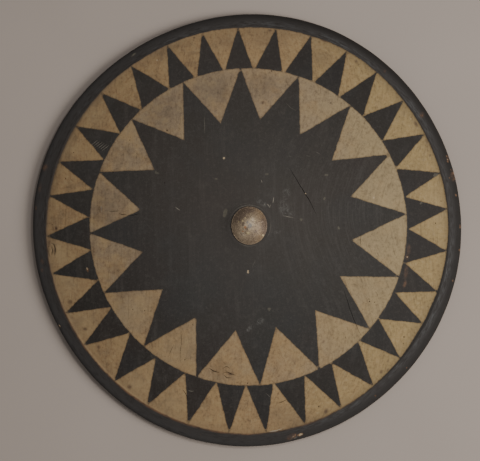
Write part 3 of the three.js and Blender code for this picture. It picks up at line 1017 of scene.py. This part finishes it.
class Shader:
    """A material's nodes, each made by one call."""

    def __init__(self, name):
        self.material = bpy.data.materials.new(name)
        self.material.use_nodes = True
        self.tree = self.material.node_tree
        self.surface = self.tree.nodes["Principled BSDF"]
        self.place = self.add("ShaderNodeTexCoord").outputs["Object"]

    def join(self, socket, value):
        """Gives a socket a plain value, another node's output or a named attribute."""
        if isinstance(value, str):
            value = self.add("ShaderNodeAttribute", attribute_name=value).outputs["Fac"]
        if isinstance(value, bpy.types.NodeSocket):
            self.tree.links.new(value, socket)
        else:
            socket.default_value = value

    def add(self, kind, inputs=(), **options):
        """A node with its options and its first inputs, or the inputs that a dict names."""
        node = self.tree.nodes.new(kind)
        for name, value in options.items():
            setattr(node, name, value)
        if isinstance(inputs, dict):
            pairs = [(node.inputs[name], value) for name, value in inputs.items()]
        else:
            pairs = zip(node.inputs, inputs)
        for socket, value in pairs:
            self.join(socket, value)
        return node

    def maths(self, operation, *values):
        return self.add("ShaderNodeMath", values, operation=operation).outputs[0]

    def times(self, value, *others):
        for other in others:
            value = self.maths("MULTIPLY", value, other)
        return value

    def plus(self, value, *others):
        for other in others:
            value = self.maths("ADD", value, other)
        return value

    def scaled(self, value, scale, start):
        return self.maths("MULTIPLY_ADD", value, scale, start)

    def around(self, value, spread):
        """A value of 0 to 1 spread evenly about nought."""
        return self.scaled(value, spread, -spread / 2)

    def vector(self, x, y, z=0.0):
        return self.add("ShaderNodeCombineXYZ", (x, y, z)).outputs[0]

    def vectors(self, operation, *values):
        return self.add("ShaderNodeVectorMath", values, operation=operation).outputs[0]

    def stretched(self, x, y, at=None):
        """A place whose noises run long where a factor is small."""
        return self.vectors("MULTIPLY", self.place if at is None else at, (x, y, 1))

    def noise(self, scale, detail=3, roughness=0.55, twist=0, at=None):
        inputs = {"Vector": self.place if at is None else at, "Scale": scale,
                  "Detail": detail, "Roughness": roughness, "Distortion": twist}
        return self.add("ShaderNodeTexNoise", inputs).outputs["Fac"]

    def step(self, value, low, high, start=0, end=1):
        """A smooth step from start to end as the value goes from low to high."""
        inputs = (value, low, high, start, end)
        node = self.add("ShaderNodeMapRange", inputs, interpolation_type="SMOOTHSTEP")
        return node.outputs[0]

    def mix(self, share, a, b):
        node = self.add("ShaderNodeMix", (share,), data_type="RGBA")
        for socket, colour in zip(node.inputs[6:8], (a, b)):
            self.join(socket, colour if isinstance(colour, bpy.types.NodeSocket) else (*colour, 1))
        return node.outputs[2]

    def layered(self, colour, *layers):
        """A colour under others, each laid over it by its own share."""
        for share, over in layers:
            colour = self.mix(share, colour, over)
        return colour

    def bump(self, height, distance, strength, under=None):
        inputs = {"Height": height, "Distance": distance, "Strength": strength}
        if under is not None:
            inputs["Normal"] = under
        return self.add("ShaderNodeBump", inputs).outputs[0]

    def finish(self, colour, roughness, normal=None):
        self.join(self.surface.inputs["Base Color"], colour)
        self.join(self.surface.inputs["Roughness"], roughness)
        if normal is not None:
            self.join(self.surface.inputs["Normal"], normal)
        return self.material


def paint_fields(s):
    """The places, areas and noises that every layer of paint is made from."""
    x, y, height = s.add("ShaderNodeSeparateXYZ", (s.place,)).outputs
    grain = s.vector("across_grain", y, height)
    return SimpleNamespace(
        x=x,
        y=y,
        broad=s.noise(9),
        cloud=s.noise(21, 3, 0.6),
        patches=s.noise(55, 4, 0.65),
        mottle=s.noise(230, 3, 0.7),
        grit=s.noise(520, 3, 0.65),
        fibres=s.noise(430, 3, 0.6, at=s.stretched(1, 0.05, grain)),
        streaks=s.noise(90, 4, 0.6, at=s.stretched(1, 0.04, grain)),
    )


def tan_paint(s, n, edge):
    """Tan paint, painted lighter to the right as painted light, with its dull and bright patches.
    """
    warm = s.plus(s.times("outer_row", 0.5), n.cloud, s.step(n.y, 0.02, -0.2, 0, 0.25))
    # Painted light: lighter and yellower towards the right
    painted_lit_right = s.plus(s.times(n.cloud, 0.12), n.x, -0.06)
    ochre = s.step(s.noise(34, 4, 0.65), 0.48, 0.7, 0, 0.6)
    blotches = s.noise(40, 4, 0.6, 0.5)
    stain = s.times(s.step("stain", 0, 0.9, 0, 0.95), s.step(n.mottle, 0.3, 0.6, 0.5, 1))
    return s.layered(
        s.mix(s.step(warm, 0.42, 0.9), TAN_GREY, TAN_WARM),
        (s.step(painted_lit_right, 0, 0.22, 0, 0.75), s.mix("outer_row", TAN_PAINTED_LIT, TAN_YELLOW)),
        (s.times(ochre, s.step(painted_lit_right, 0, 0.22, 1, 0.4)), TAN_OCHRE),
        (s.step(n.patches, 0.5, 0.75, 0, 0.35), TAN_PALE),
        (s.step(n.mottle, 0.5, 0.7, 0, 0.5), TAN_PALE),
        (s.step(n.mottle, 0.5, 0.28, 0, 0.38), TAN_DIRT),
        (s.step(n.streaks, 0.5, 0.75, 0, 0.2), TAN_DIRT),
        (s.step(n.fibres, 0.5, 0.75, 0, 0.36), TAN_DIRT),
        (s.step(n.grit, 0.57, 0.75, 0, 0.2), TAN_DIRT),
        (s.step(s.noise(75, 5, 0.75), 0.54, 0.78, 0, 0.27), TAN_DIRT),
        (s.times(s.step(blotches, 0.5, 0.66), s.step(n.x, 0.12, -0.12, 0.06, 0.26)), TAN_DULL),
        (s.times(s.step(blotches, 0.5, 0.38), s.step(n.x, 0.12, -0.12, 0, 0.34)), TAN_BRIGHT),
        # Broad patches painted darker and lighter
        (s.times("darkened", 0.34), TAN_DULL),
        (s.times("lightened", 0.35), TAN_PALE),
        (stain, STAIN_BROWN),
        (s.step(edge, 2, 0.1, 0, 0.45), TAN_DIRT),
        # Darker near the rim, most on the left
        (s.times("darker_by_rim", s.step(n.mottle, 0.2, 0.8, 0.7, 1)), DARK_RIM_BROWN),
    )


def black_paint(s, n):
    """Black paint, paler in streaks to the right as a painted sheen, and dusty towards the middle.
    """
    cool = s.step(s.plus(s.times(n.x, 0.5), n.y, s.times(n.cloud, 0.1), -0.05), 0.03, -0.12)
    # Painted sheen: paler streaks along the grain, strongest to the right of the middle
    sheen_streaks = s.times(s.step(n.fibres, 0.45, 0.75), s.scaled("sheen_streaks", 0.4, 0.1))
    high_left = s.times(s.step(n.x, 0.17, -0.05), s.step(n.y, -0.12, 0.1))
    return s.layered(
        s.mix(s.step(n.broad, 0.35, 0.65), BLACK_BROWN, BLACK_GREEN),
        (s.step(s.noise(14, 2), 0.45, 0.7, 0, 0.6), BLACK_BLUE),
        (s.step(n.streaks, 0.5, 0.85, 0, 0.5), BLACK_WORN),
        (sheen_streaks, BLACK_WORN),
        (s.step(n.mottle, 0.48, 0.75, 0, 0.4), BLACK_WORN),
        (s.step(n.patches, 0.5, 0.75, 0, 0.3), BLACK_WORN),
        (s.step(n.grit, 0.5, 0.3, 0, 0.45), SPLIT_DARK),
        (s.times("middle", 0.4), s.mix(cool, BLACK_WORN, DUST_COOL)),
        (s.times(s.step(n.x, -0.12, 0.16), s.scaled("outer_row", 0.24, 0.12)), BLACK_DEEP),
        (s.times(high_left, s.scaled("middle", -0.17, 0.17)), BLACK_WORN),
    )


def rim_paint(s, n):
    """The rim's black paint, streaked along the rim and darker outwards; painted light lightens its
    outer edge on the lower left, and its inner half is worn pale with a painted sheen towards the
    upper right.
    """
    outwards = s.vectors("NORMALIZE", s.vector(n.x, n.y))
    along = s.vectors("MULTIPLY", outwards, (BOARD_RADIUS,) * 3)
    across = s.vector(0, 0, s.times("roll", 0.2))
    strokes = s.noise(75, 4, 0.7, at=s.vectors("ADD", along, across))
    roll = s.plus("roll", s.around(strokes, 0.5))
    low_left = s.plus(s.times(n.x, -0.94), s.times(n.y, -0.34))
    # Painted light: the outer edge is lighter on the lower left
    outside = s.mix(s.step(low_left, -0.28, 0.28), RIM_OUTSIDE, RIM_LIT)
    # Pale worn streaks on the inner half, strongest to the upper right: wear with a painted sheen
    worn = s.times(
        s.step(n.broad, 0.42, 0.65, 0.3, 1), s.step(roll, 0.7, 0.3), s.step(roll, 0.1, 0.3),
        s.step(strokes, 0.45, 0.65), s.step(low_left, 0.1, -0.2, 0.35, 1))
    return s.layered(
        s.mix(s.step(roll, 0.35, 0.85), RIM_INSIDE, outside),
        (s.step(strokes, 0.5, 0.3, 0, 0.5), SPLIT_DARK),
        (worn, RIM_WORN_SHEEN),
        # Darker at the rim's inner edge on the lower left
        (s.times(s.step(roll, 0.2, 0.05), s.step(low_left, -0.1, 0.15, 0, 0.7)), DARK_RIM_EDGE),
    )


def marked(s, n, colour):
    """The paint with all that has rubbed, scratched, chipped or split it."""
    worn_edge = s.times("worn_edge", s.step(n.patches, 0.35, 0.6, 0.3, 1),
                        s.step(n.cloud, 0.4, 0.6, 0.4, 1))
    brushed = s.step(s.noise(120, 5, 0.8, 1.5), 0.42, 0.68, 0, 0.55)
    faded = s.times(s.step("faded", 0.1, 0.35), s.step(n.mottle, 0.3, 0.6, 0.5, 0.9))
    rubbed = s.times(s.step("rubbed", 0, 0.7, 0, 0.85),
                     s.step(n.patches, 0.4, 0.6, 0.35, 1), s.step(n.mottle, 0.4, 0.6, 0.4, 1))
    torn = s.plus("bare", s.around(n.mottle, 0.6))
    wood = s.mix(s.step(n.mottle, 0.35, 0.65), WOOD_RED, WOOD_ORANGE)
    scratch = s.times("scratch", s.step(n.mottle, 0.3, 0.6, 0.6, 1.3))
    return s.layered(
        colour,
        (worn_edge, WOOD_ORANGE),
        (s.times(s.step("scuff", 0, 0.6), brushed), DUST_GREY),
        (faded, FADED_GREY),
        (rubbed, WOOD_RUBBED),
        (s.step(torn, 0.15, 0.35, 0, 0.75), wood),
        (s.maths("MINIMUM", scratch, 1), SCRATCH_PALE),
        (s.step("pale", 0.1, 0.35, 0, 0.9), CHIP_CREAM),
        (s.step("pit", 0.1, 0.6, 0, 0.72), PIT_DARK),
        (s.step("split", 0.05, 0.9, 0, 0.85), SPLIT_DARK),
    )


def make_paint():
    s = Shader("worn_paint_on_wood")
    n = paint_fields(s)
    # The edge of the tan paint is a little unsteady
    edge = s.plus("tan", s.around(s.noise(85, 2), 2.2), s.around(n.mottle, 1.3))
    tan = s.step(edge, -0.45, 0.45)
    black = s.mix("rim", black_paint(s, n), rim_paint(s, n))
    colour = marked(s, n, s.mix(tan, black, tan_paint(s, n, edge)))
    rough = s.plus(s.times(n.patches, 0.2), s.times(tan, 0.1), 0.58)
    s.surface.inputs["Specular IOR Level"].default_value = 0.2
    normal = s.bump(n.streaks, 0.4 * MM, 0.4)
    normal = s.bump(n.fibres, 0.2 * MM, 0.5, normal)
    return s.finish(colour, rough, s.bump(n.mottle, 0.2 * MM, 0.5, normal))


def make_back_wood():
    s = Shader("bare_back_wood")
    fibres = s.noise(420, 4, 0.6, at=s.stretched(1, 0.05))
    bands = s.noise(60, 3, 0.5, 0.4, s.stretched(1, 0.08))
    colour = s.layered(
        s.mix(s.step(bands, 0.35, 0.65), BACK_BROWN, BACK_PALE),
        (s.step(fibres, 0.45, 0.75, 0, 0.5), BACK_DARK),
        (s.step(s.noise(12, 4, 0.6), 0.5, 0.75, 0, 0.6), BACK_STAIN),
    )
    normal = s.bump(fibres, 0.2 * MM, 0.6, s.bump(bands, 0.5 * MM, 0.5))
    return s.finish(colour, s.scaled(fibres, 0.2, 0.5), normal)


def make_grip_wood():
    s = Shader("handled_grip_wood")
    fibres = s.noise(480, 4, 0.6, at=s.stretched(0.05, 1))
    bands = s.noise(110, 3, 0.5, 0.5, s.stretched(0.08, 1))
    handled = s.noise(26, 3, 0.6)
    colour = s.layered(
        s.mix(s.step(bands, 0.35, 0.65), GRIP_BROWN, GRIP_PALE),
        (s.step(fibres, 0.5, 0.8, 0, 0.5), GRIP_DARK),
        (s.step(handled, 0.5, 0.75, 0, 0.5), GRIP_HANDLED),
    )
    normal = s.bump(fibres, 0.12 * MM, 0.5, s.bump(bands, 0.3 * MM, 0.4))
    return s.finish(colour, s.scaled(handled, 0.25, 0.28), normal)


def make_metal():
    s = Shader("tarnished_boss_metal")
    mottle = s.noise(210, 5, 0.75)
    specks = s.noise(560, 3, 0.7)
    x = s.add("ShaderNodeSeparateXYZ", (s.place,)).outputs[0]
    grime = s.around(specks, 0.9)
    # Painted light on the left side of the dome, which faces away from the lamp
    left = s.times(s.step(x, 0.006, -0.022, 0, 0.75), s.step(mottle, 0.3, 0.6, 0.7, 1))
    tarnish = s.plus("tarnish", s.around(mottle, 1.8))
    colour = s.layered(
        s.mix(s.step(mottle, 0.35, 0.65), METAL_BROWN, METAL_PALE),
        (s.step(s.noise(60, 2), 0.5, 0.7, 0, 0.4), METAL_RED),
        # Painted highlight over the middle and top of the dome, and painted light on its lower left
        (s.times(s.step("bright", 0, 0.8, 0, 0.85), s.step(mottle, 0.3, 0.6, 0.5, 1)), METAL_PAINTED_HIGHLIGHT),
        (left, METAL_PAINTED_LIGHT),
        # Painted shade on the right side of the dome
        (s.step(x, 0.004, 0.020, 0, 0.6), METAL_PAINTED_SHADE),
        # Painted glint where the bright spots are strongest
        (s.step("bright", 0.5, 1, 0, 0.75), METAL_GLINT),
        (s.step(s.plus("blue", grime), 0.1, 0.5, 0, 0.7), METAL_BLUE),
        (s.step(tarnish, -0.1, 0.6, 0, 0.7), METAL_TARNISH),
        (s.step(s.plus("rust", grime), 0.15, 0.45, 0, 0.9), METAL_RUST),
        (s.step(s.plus("cream", grime), 0.15, 0.45, 0, 0.95), METAL_CREAM),
        (s.step(mottle, 0.52, 0.66, 0, 0.5), METAL_DARK),
        (s.step(specks, 0.53, 0.66, 0, 0.65), METAL_PIT),
        (s.step(specks, 0.45, 0.33, 0, 0.5), METAL_SPECK),
    )
    s.surface.inputs["Metallic"].default_value = 0.2
    normal = s.bump(s.noise(120, 2), 1.2 * MM, 0.6)
    normal = s.bump(specks, 0.35 * MM, 0.8, s.bump(mottle, 0.6 * MM, 0.7, normal))
    return s.finish(colour, s.scaled(specks, 0.3, 0.36), normal)


def make_floor():
    s = Shader("pale_floor")
    colour = s.mix(s.step(s.noise(3, 2), 0.3, 0.7), FLOOR_GREY, FLOOR_PALE)
    corners = Vector((-1, -1, 0)), Vector((1, -1, 0)), Vector((1, 1, 0)), Vector((-1, 1, 0))
    corners = [corner * FLOOR_REACH for corner in corners]
    floor = new_object("floor", corners, [(0, 1, 2, 3)], (s.finish(colour, 0.85),))


def make_light():
    for name, place, size, power, colour in LIGHTS:
        data = bpy.data.lights.new(name, "AREA")
        data.shape, data.size, data.energy, data.color = "DISK", size, power, colour
        light = bpy.data.objects.new(name, data)
        light.location = place
        light.rotation_euler = (-Vector(place)).to_track_quat("-Z", "Y").to_euler()
        bpy.context.scene.collection.objects.link(light)
    world = bpy.data.worlds.new("studio")
    world.use_nodes = True
    background = world.node_tree.nodes["Background"]
    background.inputs["Color"].default_value = (*SKY_COLOUR, 1)
    background.inputs["Strength"].default_value = SKY_STRENGTH
    bpy.context.scene.world = world


def dress(piece, node):
    """A detailed piece takes the place of a plain solid."""
    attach(piece, "root")
    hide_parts(node)


make_camera()
make_light()
make_floor()
dress(make_board(make_paint(), make_back_wood()), "board")
dress(make_boss(make_metal()), "boss")
dress(make_grip(make_grip_wood()), "grip")
